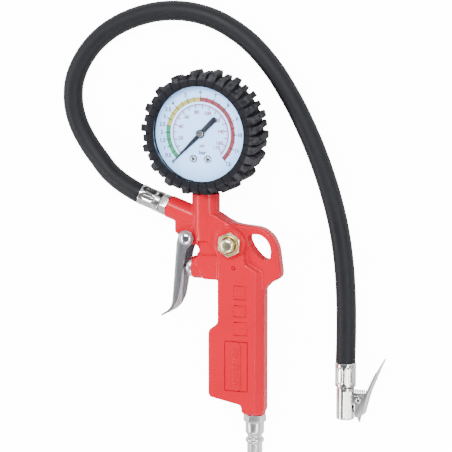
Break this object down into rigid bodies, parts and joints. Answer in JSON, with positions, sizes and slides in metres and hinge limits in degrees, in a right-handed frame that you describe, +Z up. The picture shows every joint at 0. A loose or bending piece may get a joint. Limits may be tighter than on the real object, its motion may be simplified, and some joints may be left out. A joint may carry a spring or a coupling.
{
  "type": "tyre inflator with gauge",
  "caption": "Hand-held tyre inflator: cast pistol body with trigger valve, bleed button, dial gauge in a ribbed rubber guard, inlet plug and short hose with clip-on chuck.",
  "frame": {"origin": "middle of the gun and gauge seen from above, at the table they lie on (hose and chuck left out)", "axes": "+Z up out of the dial face, +Y along the gun from the inlet plug towards the gauge, +X across the grip towards the hanging eye; the inflator lies on its back"},
  "size_m": [0.2169, 0.2861, 0.0322],
  "materials": {
    "gun_body": "gloss red enamel over a casting",
    "inlet_nipple": "bright nickel plate",
    "inlet_seal": "matte",
    "valve_gland_nut": "blue zinc plate",
    "valve_stem": "turned",
    "valve_seat": "matte",
    "valve_spring": "wire",
    "trigger_lever": "plated pressing",
    "trigger_pin": "polished rivet",
    "bleed_valve_nut": "yellow zinc plate",
    "bleed_button": "yellow zinc plate",
    "bleed_spring": "wire",
    "bleed_seal": "matte",
    "gauge_guard": "matte black",
    "gauge_case": "black lacquer",
    "gauge_lens": "clear",
    "gauge_dial": "white enamel with printed scales",
    "dial_screw_left": "bright",
    "dial_screw_right": "bright",
    "gauge_socket": "machined",
    "bourdon_tube": "drawn",
    "movement_frame": "stamped",
    "sector_gear": "stamped",
    "pinion_arbor": "turned",
    "pointer": "black enamel",
    "hose_fitting": "bright nickel plate",
    "hose_ferrule_gun": "crimped, bright nickel plate",
    "hose": "matte black",
    "hose_ferrule_chuck": "crimped, bright nickel plate",
    "chuck_body": "bright nickel plate",
    "chuck_seal": "matte",
    "chuck_depressor": "machined",
    "clip_lever": "plated pressing",
    "clip_pin": "polished rivet",
    "clip_spring": "wire"
  },
  "bodies": {
    "gun": {"gun_body": "gun_body", "inlet_nipple": "inlet_nipple", "inlet_seal": "inlet_seal", "valve_gland_nut": "valve_gland_nut", "valve_spring": "valve_spring", "trigger_pin": "trigger_pin", "bleed_valve_nut": "bleed_valve_nut", "bleed_spring": "bleed_spring", "gauge_guard": "gauge_guard", "gauge_case": "gauge_case", "gauge_lens": "gauge_lens", "gauge_dial": "gauge_dial", "dial_screw_left": "dial_screw_left", "dial_screw_right": "dial_screw_right", "gauge_socket": "gauge_socket", "bourdon_tube": "bourdon_tube", "movement_frame": "movement_frame", "hose_fitting": "hose_fitting", "hose_ferrule_gun": "hose_ferrule_gun", "hose": "hose", "hose_ferrule_chuck": "hose_ferrule_chuck", "chuck_body": "chuck_body", "chuck_seal": "chuck_seal", "chuck_depressor": "chuck_depressor", "clip_pin": "clip_pin", "clip_spring": "clip_spring"},
    "trigger": {"trigger_lever": "trigger_lever"},
    "valve": {"valve_stem": "valve_stem", "valve_seat": "valve_seat"},
    "bleed": {"bleed_button": "bleed_button", "bleed_seal": "bleed_seal"},
    "sector": {"sector_gear": "sector_gear"},
    "needle": {"pinion_arbor": "pinion_arbor", "pointer": "pointer"},
    "clip": {"clip_lever": "clip_lever"}
  },
  "joints": [
    {"name": "trigger_hinge", "type": "hinge", "parent": "gun", "child": "trigger", "pos_m": [-0.01312, 0.0155, 0.014], "axis": [0, 0, 1], "range_deg": [0, 10], "stiffness_Nm_per_rad": 0.4},
    {"name": "valve_slide", "type": "slide", "parent": "gun", "child": "valve", "axis": [1, 0, 0], "range_m": [0, 0.0036], "deforming": ["valve_spring"]},
    {"name": "bleed_slide", "type": "slide", "parent": "gun", "child": "bleed", "axis": [0, 0, -1], "range_m": [0, 0.0025], "stiffness_N_per_m": 500, "deforming": ["bleed_spring"]},
    {"name": "sector_swing", "type": "hinge", "parent": "gun", "child": "sector", "pos_m": [-0.01262, 0.0807, 0.014], "axis": [0, 0, 1], "range_deg": [0, 67], "stiffness_Nm_per_rad": 0.001},
    {"name": "needle_turn", "type": "hinge", "parent": "gun", "child": "needle", "pos_m": [-0.00212, 0.08271, 0.014], "axis": [0, 0, -1], "range_deg": [0, 270.1]},
    {"name": "clip_hinge", "type": "hinge", "parent": "gun", "child": "clip", "pos_m": [0.09858, -0.08249, 0.0067], "axis": [0, 0, 1], "range_deg": [0, 12], "stiffness_Nm_per_rad": 0.4, "deforming": ["clip_spring"]}
  ],
  "couplings": [
    {"joint": "valve_slide", "follows": "trigger_hinge", "m_per_rad": 0.0187},
    {"joint": "needle_turn", "follows": "sector_swing", "ratio": 4.03}
  ]
}
